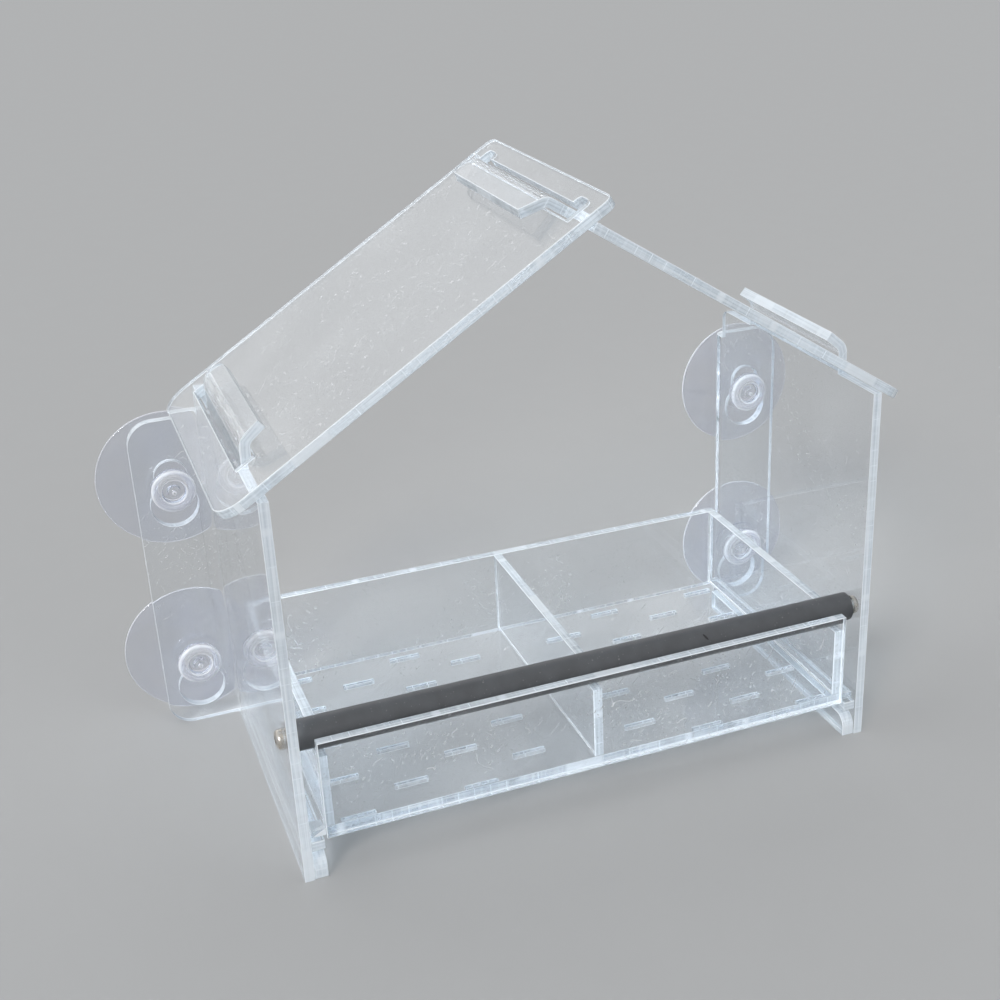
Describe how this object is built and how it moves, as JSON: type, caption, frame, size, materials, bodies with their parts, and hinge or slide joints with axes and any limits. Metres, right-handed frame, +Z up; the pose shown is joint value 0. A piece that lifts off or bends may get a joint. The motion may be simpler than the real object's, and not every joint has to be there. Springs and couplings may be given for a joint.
{
  "type": "window bird feeder",
  "caption": "House-shaped clear acrylic window feeder with a divided seed tray that tips up on a dark perch rod, hooked roof panels and suction cups in keyholes.",
  "frame": {"origin": "centre of the overall footprint, level with the bottom edges of the side panels", "axes": "+X to the right seen from the open front, +Y from the open front to the window, +Z up"},
  "size_m": [0.251, 0.111, 0.1851],
  "materials": {
    "clear_acrylic": "clear sheet, polished faces, bright cut edges",
    "clear_cup": "clear soft plastic",
    "perch_grey": "dark grey satin rod",
    "bright_metal": "bright plated screw"
  },
  "bodies": {
    "frame": {"left_side_panel": "clear_acrylic", "right_side_panel": "clear_acrylic", "left_upper_rail": "clear_acrylic", "right_upper_rail": "clear_acrylic", "left_lower_rail": "clear_acrylic", "right_lower_rail": "clear_acrylic", "perch_rod": "perch_grey", "left_perch_screw": "bright_metal", "right_perch_screw": "bright_metal"},
    "tray": {"tray_floor": "clear_acrylic", "tray_front_wall": "clear_acrylic", "tray_back_wall": "clear_acrylic", "tray_left_wall": "clear_acrylic", "tray_right_wall": "clear_acrylic", "tray_divider": "clear_acrylic"},
    "roof": {"left_roof_panel": "clear_acrylic", "right_roof_panel": "clear_acrylic"},
    "left_upper_suction_cup": {"upper_left_cup": "clear_cup"},
    "left_lower_suction_cup": {"lower_left_cup": "clear_cup"},
    "right_upper_suction_cup": {"upper_right_cup": "clear_cup"},
    "right_lower_suction_cup": {"lower_right_cup": "clear_cup"}
  },
  "joints": [
    {"name": "tray_tilt", "type": "hinge", "parent": "frame", "child": "tray", "pos_m": [0, -0.0473, 0.0436], "axis": [1, 0, 0], "range_deg": [0, 65]},
    {"name": "roof_slide", "type": "slide", "parent": "frame", "child": "roof", "axis": [0, -1, 0], "range_m": [0, 0.0095]},
    {"name": "upper_left_cup_slide", "type": "slide", "parent": "frame", "child": "left_upper_suction_cup", "axis": [0, 0, 1], "range_m": [-0.0058, 0.0042]},
    {"name": "lower_left_cup_slide", "type": "slide", "parent": "frame", "child": "left_lower_suction_cup", "axis": [0, 0, 1], "range_m": [-0.0097, 0.0003]},
    {"name": "upper_right_cup_slide", "type": "slide", "parent": "frame", "child": "right_upper_suction_cup", "axis": [0, 0, 1], "range_m": [-0.0058, 0.0042]},
    {"name": "lower_right_cup_slide", "type": "slide", "parent": "frame", "child": "right_lower_suction_cup", "axis": [0, 0, 1], "range_m": [-0.0097, 0.0003]}
  ]
}
